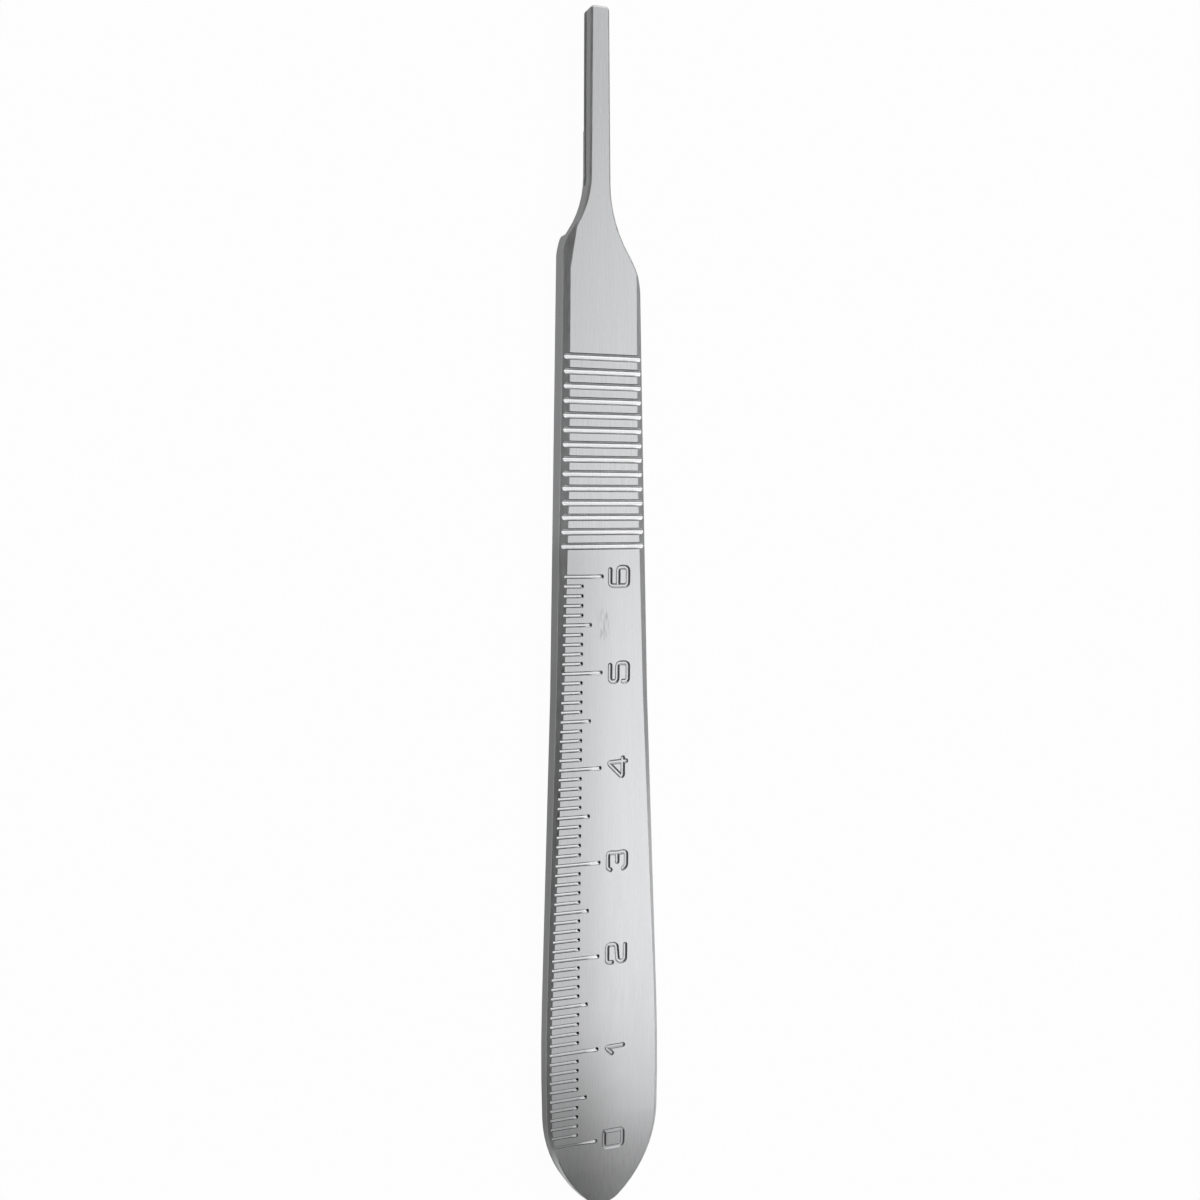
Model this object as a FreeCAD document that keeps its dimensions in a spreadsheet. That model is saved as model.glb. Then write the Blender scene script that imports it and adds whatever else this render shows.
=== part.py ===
import FreeCAD, Part
import os
import math
import Sketcher
from FreeCAD import Vector, Placement, Rotation

os.makedirs("parts", exist_ok=True)
doc = FreeCAD.newDocument("scalpel_handle")
sheet = doc.addObject("Spreadsheet::Sheet", "sizes")

# Every size stands here once.  Millimetres and degrees.
# The handle lies on its back face, Z up; Y runs along it, the blade fitting at the +Y end.
# Lengths named ..._at are measured along Y from the zero mark of the ruler.
SIZES = [
    # whole handle
    ("length", 124.6, "tail end to end of the blade fitting"),
    ("zero_mark", 7.15, "tail end to the zero mark of the ruler"),
    ("thick_mid", 2.83, "thickness half way along"),
    ("taper_angle", 0.49, "tilt of the front face, thinner towards the tail"),
    # plan outline, half widths on each side of the centre line
    ("front_half", 3.67, "blank half width at the fitting end"),
    ("waist_half", 4.66, "half width in the middle of the grip"),
    ("waist_at", 70.0, ""),
    ("kink_half", 5.13, "half width where the sides begin to spread"),
    ("kink_at", 47.5, ""),
    ("spread_at", 15.0, "end of the straight sides"),
    ("widest_half", 6.39, "half width at the widest place"),
    ("widest_at", 8.0, ""),
    ("side_round", 200.0, "radius of the sides at the widest place"),
    ("tail_round", 12.3, "radius of the two sides of the tail"),
    ("end_round", 2.9, "radius of the tail end"),
    # long bevels
    ("bevel_depth", 0.46, "bevel, measured down from the face"),
    ("bevel_front", 0.22, "bevel width in plan at the fitting end of the blank"),
    ("bevel_waist", 0.86, "bevel width in the middle of the grip"),
    ("bevel_kink", 0.69, "bevel width where the sides begin to spread"),
    ("bevel_tail", 0.45, "bevel width round the tail"),
    # front face curved down at the tail
    ("crown_at", 5.0, "start of the curve"),
    ("crown_round", 176.0, "radius of the curve"),
    # blade fitting and shoulders
    ("fitting_middle", 0.35, "centre line of the fitting, to the left of the handle's"),
    ("fitting_tip_half", 1.01, "half width at its end"),
    ("fitting_neck_half", 1.15, "half width at the neck"),
    ("fitting_corner", 0.42, "corner radius of its end"),
    ("left_neck", 16.6, "end of the fitting to the left side of its neck"),
    ("left_hollow", 10.0, "hollow radius of the left shoulder"),
    ("left_corner", 6.0, "outer radius of the left shoulder"),
    ("right_neck", 17.55, "end of the fitting to the right side of its neck"),
    ("right_hollow", 13.0, "hollow radius of the right shoulder"),
    ("right_corner", 9.5, "outer radius of the right shoulder"),
    ("left_reach", 4.25, "reach of the left shoulder curve from the centre line"),
    ("right_reach", 4.40, "reach of the right shoulder curve"),
    ("fitting_edge", 0.18, "edge break round the fitting"),
    ("corner_at", 22.9, "end of the fitting to the flat that widens the bevel at the left shoulder"),
    ("corner_half", 3.08, "edge of that flat there, from the centre line"),
    ("corner_turn", 9.0, "turn of the flat towards the fitting"),
    ("corner_slope", 37.0, "slope of the flat, down and outwards"),
    # seat for the blade, on the back
    ("seat_height", 1.30, "seat face above the back face"),
    ("heel_back", 20.9, "end of the fitting to the heel step, on the centre line"),
    ("heel_angle", 25.0, "slant of the heel step"),
    ("nose_length", 12.05, "thinner nose, from the end of the fitting"),
    ("nose_step", 0.12, "step up from the seat to the nose"),
    ("slot_top", 2.13, "upper wall of the blade slots above the back face"),
    ("slot_height", 0.45, "height of the slots"),
    ("slot_nose_extra", 0.08, "how much taller the slots are in the nose"),
    ("slot_depth", 0.4, "depth of the slots into each side"),
    ("slot_length", 17.6, "slots, from the end of the fitting"),
    # grip grooves, front and back
    ("groove_count", 14, ""),
    ("groove_pitch", 1.482, ""),
    ("groove_gap", 3.16, "end mark of the ruler to the nearest groove"),
    ("groove_round", 0.375, "groove radius"),
    ("groove_depth", 0.34, "groove depth"),
    # ruler
    ("mark_step", 1.0, "distance between marks"),
    ("ruler_long", 60.0, "zero mark to end mark"),
    ("ruler_turn", 0.73, "turn of the ruler about the vertical"),
    ("mark_width", 0.42, "width of the marks at the face"),
    ("mark_depth", 0.15, "depth of the marks"),
    ("mark_slope", 42.0, "slope of their walls, from upright"),
    ("short_end", 2.66, "right end of the short marks, left of the centre line at mid ruler"),
    ("middle_end", 1.70, "right end of the half-centimetre marks"),
    ("long_end", 0.45, "right end of the centimetre marks"),
]
value = {}
for number, (name, size, note) in enumerate(SIZES, start=1):
    sheet.set("A%d" % number, name)
    sheet.set("B%d" % number, str(size))
    sheet.set("C%d" % number, note)
    sheet.setAlias("B%d" % number, name)
    value[name] = float(size)
doc.recompute()

body = doc.addObject("PartDesign::Body", "handle")
body.Label = "handle"

# values used several times in the formulas
ZERO = "(-sizes.length / 2 + sizes.zero_mark)"
END = "sizes.length / 2"
zero = -value["length"] / 2 + value["zero_mark"]
tilt = math.radians(value["taper_angle"])


def origin_plane(role):
    for part in body.Origin.OriginFeatures:
        if part.Role == role:
            return part
    raise RuntimeError("no plane " + role)


def new_sketch(name, role):
    sketch = body.newObject("Sketcher::SketchObject", name)
    sketch.AttachmentSupport = [(origin_plane(role), "")]
    sketch.MapMode = "FlatFace"
    return sketch


def tie(sketch, kind, where, size, formula):
    index = sketch.addConstraint(Sketcher.Constraint(kind, *where, size))
    sketch.setExpression("Constraints[%d]" % index, formula)
    return index


def tie_x(sketch, geo, pos, x, formula):
    # formula gives the distance from the vertical axis, always positive
    if x >= 0:
        tie(sketch, "DistanceX", (-1, 1, geo, pos), x, formula)
    else:
        tie(sketch, "DistanceX", (geo, pos, -1, 1), -x, formula)


def tie_y(sketch, geo, pos, y, formula):
    # formula gives the signed height; the sign is turned where the point is below the axis
    if y >= 0:
        tie(sketch, "DistanceY", (-1, 1, geo, pos), y, formula)
    else:
        tie(sketch, "DistanceY", (geo, pos, -1, 1), -y, "-(" + formula + ")")


def line(sketch, start, end):
    return sketch.addGeometry(Part.LineSegment(Vector(start[0], start[1], 0),
                                               Vector(end[0], end[1], 0)), False)


def arc(sketch, centre, radius, first, last):
    circle = Part.Circle(Vector(centre[0], centre[1], 0), Vector(0, 0, 1), radius)
    return sketch.addGeometry(Part.ArcOfCircle(circle, first, last), False)


def join(sketch, one, one_pos, two, two_pos):
    sketch.addConstraint(Sketcher.Constraint("Coincident", one, one_pos, two, two_pos))


def smooth(sketch, one, one_pos, two, two_pos):
    sketch.addConstraint(Sketcher.Constraint("Tangent", one, one_pos, two, two_pos))


def tail_centres():
    # centres of the three tail arcs, right-hand side
    side = (value["widest_half"] - value["side_round"], zero + value["widest_at"])
    end = (0.0, -value["length"] / 2 + value["end_round"])
    far_side = value["side_round"] - value["tail_round"]
    far_end = value["tail_round"] - value["end_round"]
    gap = math.hypot(end[0] - side[0], end[1] - side[1])
    along = (far_side ** 2 - far_end ** 2 + gap ** 2) / (2 * gap)
    across = math.sqrt(max(0.0, far_side ** 2 - along ** 2))
    ux, uy = (end[0] - side[0]) / gap, (end[1] - side[1]) / gap
    first = (side[0] + along * ux - across * uy, side[1] + along * uy + across * ux)
    second = (side[0] + along * ux + across * uy, side[1] + along * uy - across * ux)
    tail = first if first[1] > second[1] else second
    return side, tail, end


def plan_outline(name, inset):
    """Closed plan outline; inset 0 is the side edge, inset 1 the edge of the flat face."""
    sketch = new_sketch(name, "XY_Plane")
    cut = {key: value["bevel_" + key] * inset for key in ("front", "waist", "kink", "tail")}
    less = {key: (" - sizes.bevel_" + key if inset else "") for key in cut}
    side, tail, end = tail_centres()
    radius = [value[key] - cut["tail"] for key in ("side_round", "tail_round", "end_round")]
    top = value["length"] / 2
    stations = [
        (value["front_half"] - cut["front"], top),
        (value["waist_half"] - cut["waist"], zero + value["waist_at"]),
        (value["kink_half"] - cut["kink"], zero + value["kink_at"]),
    ]
    spread = zero + value["spread_at"]
    start_angle = math.asin((spread - side[1]) / radius[0])
    stations.append((side[0] + radius[0] * math.cos(start_angle), spread))
    turn_one = math.atan2(side[1] - tail[1], tail[0] - side[0])
    turn_two = math.atan2(tail[1] - end[1], end[0] - tail[0])
    right = [line(sketch, stations[i], stations[i + 1]) for i in range(3)]
    side_r = arc(sketch, side, radius[0], -turn_one, start_angle)
    tail_r = arc(sketch, tail, radius[1], -turn_two, -turn_one)
    end_arc = arc(sketch, end, radius[2], -math.pi + turn_two, -turn_two)
    tail_l = arc(sketch, (-tail[0], tail[1]), radius[1], math.pi + turn_one, math.pi + turn_two)
    side_l = arc(sketch, (-side[0], side[1]), radius[0], math.pi - start_angle, math.pi + turn_one)
    mirrored = [(-x, y) for x, y in stations]
    left = [line(sketch, mirrored[3], mirrored[2]), line(sketch, mirrored[2], mirrored[1]),
            line(sketch, mirrored[1], mirrored[0])]
    front = line(sketch, mirrored[0], stations[0])
    # chain
    join(sketch, front, 2, right[0], 1)
    join(sketch, right[0], 2, right[1], 1)
    join(sketch, right[1], 2, right[2], 1)
    join(sketch, right[2], 2, side_r, 2)
    smooth(sketch, side_r, 1, tail_r, 2)
    smooth(sketch, tail_r, 1, end_arc, 2)
    smooth(sketch, end_arc, 1, tail_l, 2)
    smooth(sketch, tail_l, 1, side_l, 2)
    join(sketch, side_l, 1, left[0], 1)
    join(sketch, left[0], 2, left[1], 1)
    join(sketch, left[1], 2, left[2], 1)
    join(sketch, left[2], 2, front, 1)
    # mirror
    for one, two in ((right[0], left[2]), (right[1], left[1]), (right[2], left[0])):
        sketch.addConstraint(Sketcher.Constraint("Symmetric", one, 1, two, 2, -2))
    sketch.addConstraint(Sketcher.Constraint("Symmetric", right[2], 2, left[0], 1, -2))
    sketch.addConstraint(Sketcher.Constraint("Symmetric", side_r, 3, side_l, 3, -2))
    sketch.addConstraint(Sketcher.Constraint("Equal", tail_r, tail_l))
    # sizes
    tie_x(sketch, right[0], 1, stations[0][0], "sizes.front_half" + less["front"])
    tie_y(sketch, right[0], 1, top, "sizes.length / 2")
    tie_x(sketch, right[1], 1, stations[1][0], "sizes.waist_half" + less["waist"])
    tie_y(sketch, right[1], 1, stations[1][1], ZERO + " + sizes.waist_at")
    tie_x(sketch, right[2], 1, stations[2][0], "sizes.kink_half" + less["kink"])
    tie_y(sketch, right[2], 1, stations[2][1], ZERO + " + sizes.kink_at")
    tie_y(sketch, right[2], 2, stations[3][1], ZERO + " + sizes.spread_at")
    tie_x(sketch, side_r, 3, side[0], "sizes.side_round - sizes.widest_half")
    tie_y(sketch, side_r, 3, side[1], ZERO + " + sizes.widest_at")
    tie(sketch, "Radius", (side_r,), radius[0], "sizes.side_round" + less["tail"])
    tie(sketch, "Radius", (tail_r,), radius[1], "sizes.tail_round" + less["tail"])
    tie(sketch, "Radius", (end_arc,), radius[2], "sizes.end_round" + less["tail"])
    sketch.addConstraint(Sketcher.Constraint("PointOnObject", end_arc, 3, -2))
    tie_y(sketch, end_arc, 3, end[1], "-sizes.length / 2 + sizes.end_round")
    return sketch


def lift(sketch, height, formula, tilted):
    turn = Rotation(Vector(1, 0, 0), value["taper_angle"] if tilted else 0)
    sketch.AttachmentOffset = Placement(Vector(0, 0, height), turn)
    sketch.setExpression(".AttachmentOffset.Base.z", formula)
    if tilted:
        sketch.setExpression(".AttachmentOffset.Rotation.Angle", "sizes.taper_angle")


# 1 Blank: four outlines, joined by straight walls
back_edge = plan_outline("back_face", 1)
low_side = plan_outline("low_side", 0)
lift(low_side, value["bevel_depth"], "sizes.bevel_depth", False)
high_side = plan_outline("high_side", 0)
lift(high_side, value["thick_mid"] - value["bevel_depth"],
     "sizes.thick_mid - sizes.bevel_depth", True)
front_edge = plan_outline("front_face", 1)
lift(front_edge, value["thick_mid"], "sizes.thick_mid", True)
doc.recompute()

blank = body.newObject("PartDesign::AdditiveLoft", "blank")
blank.Profile = back_edge
blank.Sections = [low_side, high_side, front_edge]
blank.Ruled = True
blank.Closed = False
doc.recompute()
body.Tip = blank
for s in (back_edge, low_side, high_side, front_edge):
    s.Visibility = False


def check(feature, before, removes=True):
    """A step that changes nothing, or breaks the solid, stops the build."""
    doc.recompute()
    shape = feature.Shape
    if shape.isNull() or not shape.isValid() or "Invalid" in feature.State:
        raise RuntimeError(feature.Name + " is broken")
    change = shape.Volume - before
    if (removes and change > -1e-4) or (not removes and abs(change) < 1e-6):
        raise RuntimeError("%s changed the volume by %.5f" % (feature.Name, change))
    body.Tip = feature
    print("%-14s volume %9.3f  change %8.3f  faces %d" % (
        feature.Name, shape.Volume, change, len(shape.Faces)))
    return shape.Volume


def through_pocket(name, sketch, reversed_way=False, middle=False):
    pocket = body.newObject("PartDesign::Pocket", name)
    pocket.Profile = sketch
    if middle:
        pocket.SideType = "Symmetric"
        pocket.Length = 40
    else:
        pocket.Type = "ThroughAll"
        pocket.Reversed = reversed_way
    sketch.Visibility = False
    return pocket


volume = blank.Shape.Volume

# 2 Front face curved down at the tail
crown_sketch = new_sketch("crown_line", "YZ_Plane")
crown_sketch.AttachmentOffset = Placement(Vector(0, value["thick_mid"], 0),
                                          Rotation(Vector(0, 0, 1), value["taper_angle"]))
crown_sketch.setExpression(".AttachmentOffset.Base.y", "sizes.thick_mid")
crown_sketch.setExpression(".AttachmentOffset.Rotation.Angle", "sizes.taper_angle")
crown_y = zero + value["crown_at"]
crown_r = value["crown_round"]
reach = value["crown_at"] + value["zero_mark"] + 2.0
sweep = math.asin(reach / crown_r)
drop = crown_r * (1 - math.cos(sweep))
crown_arc = arc(crown_sketch, (crown_y, -crown_r), crown_r, math.pi / 2, math.pi / 2 + sweep)
outer = line(crown_sketch, (crown_y - reach, -drop), (crown_y - reach, 2.0))
lid = line(crown_sketch, (crown_y - reach, 2.0), (crown_y, 2.0))
inner = line(crown_sketch, (crown_y, 2.0), (crown_y, 0.0))
join(crown_sketch, crown_arc, 2, outer, 1)
join(crown_sketch, outer, 2, lid, 1)
join(crown_sketch, lid, 2, inner, 1)
join(crown_sketch, inner, 2, crown_arc, 1)
for one in (outer, inner):
    crown_sketch.addConstraint(Sketcher.Constraint("Vertical", one))
crown_sketch.addConstraint(Sketcher.Constraint("Horizontal", lid))
crown_sketch.addConstraint(Sketcher.Constraint("PointOnObject", crown_arc, 1, -1))
tie_x(crown_sketch, crown_arc, 3, crown_y, "sizes.length / 2 - sizes.zero_mark - sizes.crown_at")
crown_sketch.addConstraint(Sketcher.Constraint("Vertical", crown_arc, 3, crown_arc, 1))
tie(crown_sketch, "Radius", (crown_arc,), crown_r, "sizes.crown_round")
tie(crown_sketch, "DistanceX", (outer, 1, crown_arc, 1), reach,
    "sizes.crown_at + sizes.zero_mark + 2")
crown_sketch.addConstraint(Sketcher.Constraint("DistanceY", crown_arc, 1, lid, 1, 2.0))
doc.recompute()
crown = through_pocket("crown", crown_sketch, middle=True)
volume = check(crown, volume)

# 3 Shoulders and blade fitting, cut straight down
top = value["length"] / 2
mid = -value["fitting_middle"]
half_tip, half_neck = value["fitting_tip_half"], value["fitting_neck_half"]
corner = value["fitting_corner"]
margin_x, margin_y = 9.0, top + 4.0
plan = new_sketch("shoulder_line", "XY_Plane")
neck_l = (mid - half_neck, top - value["left_neck"])
neck_r = (mid + half_neck, top - value["right_neck"])


def shoulder(neck, hollow, outer_round, reach_out, sign):
    """Centres and turning angle of the two curves of one shoulder."""
    first = (neck[0] + sign * hollow, neck[1])
    second_x = sign * (reach_out - outer_round)
    across = abs(first[0] - second_x)
    turn = math.acos(across / (hollow + outer_round))
    second = (second_x, neck[1] - (hollow + outer_round) * math.sin(turn))
    return first, second, turn


hollow_r, outer_r, turn_r = shoulder(neck_r, value["right_hollow"], value["right_corner"],
                                     value["right_reach"], 1)
hollow_l, outer_l, turn_l = shoulder(neck_l, value["left_hollow"], value["left_corner"],
                                     value["left_reach"], -1)
a_outer_r = arc(plan, outer_r, value["right_corner"], 0.0, turn_r)
a_hollow_r = arc(plan, hollow_r, value["right_hollow"], math.pi, math.pi + turn_r)
l_side_r = line(plan, neck_r, (mid + half_tip, top - corner))
a_tip_r = arc(plan, (mid + half_tip - corner, top - corner), corner, 0.0, math.pi / 2)
l_tip = line(plan, (mid + half_tip - corner, top), (mid - half_tip + corner, top))
a_tip_l = arc(plan, (mid - half_tip + corner, top - corner), corner, math.pi / 2, math.pi)
l_side_l = line(plan, (mid - half_tip, top - corner), neck_l)
a_hollow_l = arc(plan, hollow_l, value["left_hollow"], 2 * math.pi - turn_l, 2 * math.pi)
a_outer_l = arc(plan, outer_l, value["left_corner"], math.pi - turn_l, math.pi)
l_foot_l = line(plan, (-value["left_reach"], outer_l[1]), (-margin_x, outer_l[1]))
l_wall_l = line(plan, (-margin_x, outer_l[1]), (-margin_x, margin_y))
l_lid = line(plan, (-margin_x, margin_y), (margin_x, margin_y))
l_wall_r = line(plan, (margin_x, margin_y), (margin_x, outer_r[1]))
l_foot_r = line(plan, (margin_x, outer_r[1]), (value["right_reach"], outer_r[1]))
smooth(plan, a_outer_r, 2, a_hollow_r, 2)
smooth(plan, a_hollow_r, 1, l_side_r, 1)
smooth(plan, l_side_r, 2, a_tip_r, 1)
smooth(plan, a_tip_r, 2, l_tip, 1)
smooth(plan, l_tip, 2, a_tip_l, 1)
smooth(plan, a_tip_l, 2, l_side_l, 1)
smooth(plan, l_side_l, 2, a_hollow_l, 2)
smooth(plan, a_hollow_l, 1, a_outer_l, 1)
join(plan, a_outer_l, 2, l_foot_l, 1)
join(plan, l_foot_l, 2, l_wall_l, 1)
join(plan, l_wall_l, 2, l_lid, 1)
join(plan, l_lid, 2, l_wall_r, 1)
join(plan, l_wall_r, 2, l_foot_r, 1)
join(plan, l_foot_r, 2, a_outer_r, 1)
for one in (l_foot_l, l_lid, l_foot_r, l_tip):
    plan.addConstraint(Sketcher.Constraint("Horizontal", one))
for one in (l_wall_l, l_wall_r):
    plan.addConstraint(Sketcher.Constraint("Vertical", one))
tie_y(plan, l_tip, 1, top, "sizes.length / 2")
tie(plan, "Radius", (a_tip_r,), corner, "sizes.fitting_corner")
plan.addConstraint(Sketcher.Constraint("Equal", a_tip_r, a_tip_l))
tie_x(plan, l_side_r, 1, neck_r[0], "sizes.fitting_neck_half - sizes.fitting_middle")
tie_y(plan, l_side_r, 1, neck_r[1], END + " - sizes.right_neck")
tie_x(plan, l_side_l, 2, neck_l[0], "sizes.fitting_neck_half + sizes.fitting_middle")
tie_y(plan, l_side_l, 2, neck_l[1], END + " - sizes.left_neck")
tie_x(plan, l_side_r, 2, mid + half_tip, "sizes.fitting_tip_half - sizes.fitting_middle")
tie_x(plan, l_side_l, 1, mid - half_tip, "sizes.fitting_tip_half + sizes.fitting_middle")
tie(plan, "Radius", (a_hollow_r,), value["right_hollow"], "sizes.right_hollow")
tie(plan, "Radius", (a_outer_r,), value["right_corner"], "sizes.right_corner")
tie(plan, "Radius", (a_hollow_l,), value["left_hollow"], "sizes.left_hollow")
tie(plan, "Radius", (a_outer_l,), value["left_corner"], "sizes.left_corner")
tie_x(plan, a_outer_r, 3, outer_r[0], ("sizes.right_corner - sizes.right_reach"
                                       if outer_r[0] < 0 else
                                       "sizes.right_reach - sizes.right_corner"))
tie_x(plan, a_outer_l, 3, outer_l[0], ("sizes.left_corner - sizes.left_reach"
                                       if outer_l[0] > 0 else
                                       "sizes.left_reach - sizes.left_corner"))
plan.addConstraint(Sketcher.Constraint("Horizontal", a_outer_r, 3, a_outer_r, 1))
plan.addConstraint(Sketcher.Constraint("Horizontal", a_outer_l, 3, a_outer_l, 2))
plan.addConstraint(Sketcher.Constraint("DistanceX", l_wall_l, 1, -1, 1, margin_x))
plan.addConstraint(Sketcher.Constraint("DistanceX", -1, 1, l_wall_r, 1, margin_x))
tie(plan, "DistanceY", (-1, 1, l_lid, 1), margin_y, END + " + 4")
doc.recompute()
shoulders = through_pocket("shoulders", plan, middle=True)
volume = check(shoulders, volume)

# 4 Edge break where the shoulder and fitting walls meet the front face


def face_height(y):
    return value["thick_mid"] + y * math.tan(tilt)


shoulder_start = min(outer_l[1], outer_r[1]) - 0.5


def break_edges(feature):
    names = []
    shape = feature.Shape
    for index, one in enumerate(shape.Edges, start=1):
        centre = one.CenterOfMass
        if centre.y < shoulder_start or abs(centre.z - face_height(centre.y)) > 0.01:
            continue
        upright = False
        for face in shape.ancestorsOfType(one, Part.Face):
            u, v = face.Surface.parameter(centre)
            if abs(face.normalAt(u, v).z) < 0.01:
                upright = True
        if upright:
            names.append("Edge%d" % index)
    return names


chosen = break_edges(shoulders)
print("edges to break", len(chosen))
edge_break = body.newObject("PartDesign::Chamfer", "edge_break")
edge_break.Base = (shoulders, chosen)
edge_break.Size = value["fitting_edge"]
edge_break.setExpression("Size", "sizes.fitting_edge")
volume = check(edge_break, volume)

# The bevel widens at the left shoulder: a flat that leans outwards and turns with the shoulder
corner_y = top - value["corner_at"]
flat_sketch = new_sketch("corner_line", "XY_Plane")
flat_sketch.AttachmentOffset = Placement(
    Vector(-value["corner_half"], corner_y, face_height(corner_y)),
    Rotation(-value["corner_turn"], -value["corner_slope"], 0))
flat_sketch.setExpression(".AttachmentOffset.Base.x", "-sizes.corner_half")
flat_sketch.setExpression(".AttachmentOffset.Base.y", END + " - sizes.corner_at")
flat_sketch.setExpression(".AttachmentOffset.Base.z", "sizes.thick_mid + (" + END
                          + " - sizes.corner_at) * tan(sizes.taper_angle)")
flat_sketch.setExpression(".AttachmentOffset.Rotation.Yaw", "-sizes.corner_turn")
flat_sketch.setExpression(".AttachmentOffset.Rotation.Pitch", "-sizes.corner_slope")
FLAT = 4.0
ring = [line(flat_sketch, (-FLAT, -FLAT), (FLAT, -FLAT)), line(flat_sketch, (FLAT, -FLAT), (FLAT, FLAT)),
        line(flat_sketch, (FLAT, FLAT), (-FLAT, FLAT)), line(flat_sketch, (-FLAT, FLAT), (-FLAT, -FLAT))]
for one, two in zip(ring, ring[1:] + ring[:1]):
    join(flat_sketch, one, 2, two, 1)
for one in (ring[0], ring[2]):
    flat_sketch.addConstraint(Sketcher.Constraint("Horizontal", one))
for one in (ring[1], ring[3]):
    flat_sketch.addConstraint(Sketcher.Constraint("Vertical", one))
flat_sketch.addConstraint(Sketcher.Constraint("DistanceX", ring[0], 1, -1, 1, FLAT))
flat_sketch.addConstraint(Sketcher.Constraint("DistanceY", ring[0], 1, -1, 1, FLAT))
flat_sketch.addConstraint(Sketcher.Constraint("DistanceX", -1, 1, ring[1], 2, FLAT))
flat_sketch.addConstraint(Sketcher.Constraint("DistanceY", -1, 1, ring[1], 2, FLAT))
doc.recompute()
corner_flat = body.newObject("PartDesign::Pocket", "corner_flat")
corner_flat.Profile = flat_sketch
corner_flat.Reversed = True
corner_flat.Length = 2.0
flat_sketch.Visibility = False
volume = check(corner_flat, volume)

# 5 Blade seat on the back: the fitting is thinner than the grip
slant = math.tan(math.radians(value["heel_angle"]))
heel = top - value["heel_back"]
seat_sketch = new_sketch("seat_line", "XY_Plane")
heel_line = line(seat_sketch, (-margin_x, heel - margin_x * slant),
                 (margin_x, heel + margin_x * slant))
seat_r = line(seat_sketch, (margin_x, heel + margin_x * slant), (margin_x, margin_y))
seat_top = line(seat_sketch, (margin_x, margin_y), (-margin_x, margin_y))
seat_l = line(seat_sketch, (-margin_x, margin_y), (-margin_x, heel - margin_x * slant))
ring = [heel_line, seat_r, seat_top, seat_l]
for one, two in zip(ring, ring[1:] + ring[:1]):
    join(seat_sketch, one, 2, two, 1)
for one in (seat_r, seat_l):
    seat_sketch.addConstraint(Sketcher.Constraint("Vertical", one))
seat_sketch.addConstraint(Sketcher.Constraint("Horizontal", seat_top))
seat_sketch.addConstraint(Sketcher.Constraint("DistanceX", seat_top, 2, -1, 1, margin_x))
seat_sketch.addConstraint(Sketcher.Constraint("DistanceX", -1, 1, seat_top, 1, margin_x))
tie(seat_sketch, "DistanceY", (-1, 1, seat_top, 1), margin_y, END + " + 4")
tie_y(seat_sketch, heel_line, 1, heel - margin_x * slant,
      END + " - sizes.heel_back - %s * tan(sizes.heel_angle)" % margin_x)
tie_y(seat_sketch, heel_line, 2, heel + margin_x * slant,
      END + " - sizes.heel_back + %s * tan(sizes.heel_angle)" % margin_x)
doc.recompute()
seat = body.newObject("PartDesign::Pocket", "seat")
seat.Profile = seat_sketch
seat.Reversed = True
seat.Length = value["seat_height"]
seat.setExpression("Length", "sizes.seat_height")
seat_sketch.Visibility = False
volume = check(seat, volume)

nose_y = top - value["nose_length"]
nose_sketch = new_sketch("nose_line", "XY_Plane")
lift(nose_sketch, value["seat_height"], "sizes.seat_height", False)
ring = [line(nose_sketch, (-margin_x, nose_y), (margin_x, nose_y)),
        line(nose_sketch, (margin_x, nose_y), (margin_x, margin_y)),
        line(nose_sketch, (margin_x, margin_y), (-margin_x, margin_y)),
        line(nose_sketch, (-margin_x, margin_y), (-margin_x, nose_y))]
for one, two in zip(ring, ring[1:] + ring[:1]):
    join(nose_sketch, one, 2, two, 1)
for one in (ring[1], ring[3]):
    nose_sketch.addConstraint(Sketcher.Constraint("Vertical", one))
for one in (ring[0], ring[2]):
    nose_sketch.addConstraint(Sketcher.Constraint("Horizontal", one))
nose_sketch.addConstraint(Sketcher.Constraint("DistanceX", ring[3], 1, -1, 1, margin_x))
nose_sketch.addConstraint(Sketcher.Constraint("DistanceX", -1, 1, ring[1], 1, margin_x))
tie(nose_sketch, "DistanceY", (-1, 1, ring[2], 1), margin_y, END + " + 4")
tie_y(nose_sketch, ring[0], 1, nose_y, END + " - sizes.nose_length")
doc.recompute()
nose = body.newObject("PartDesign::Pocket", "nose")
nose.Profile = nose_sketch
nose.Reversed = True
nose.Length = value["nose_step"]
nose.setExpression("Length", "sizes.nose_step")
nose_sketch.Visibility = False
volume = check(nose, volume)

# 6 Blade slots in both sides of the fitting


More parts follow.
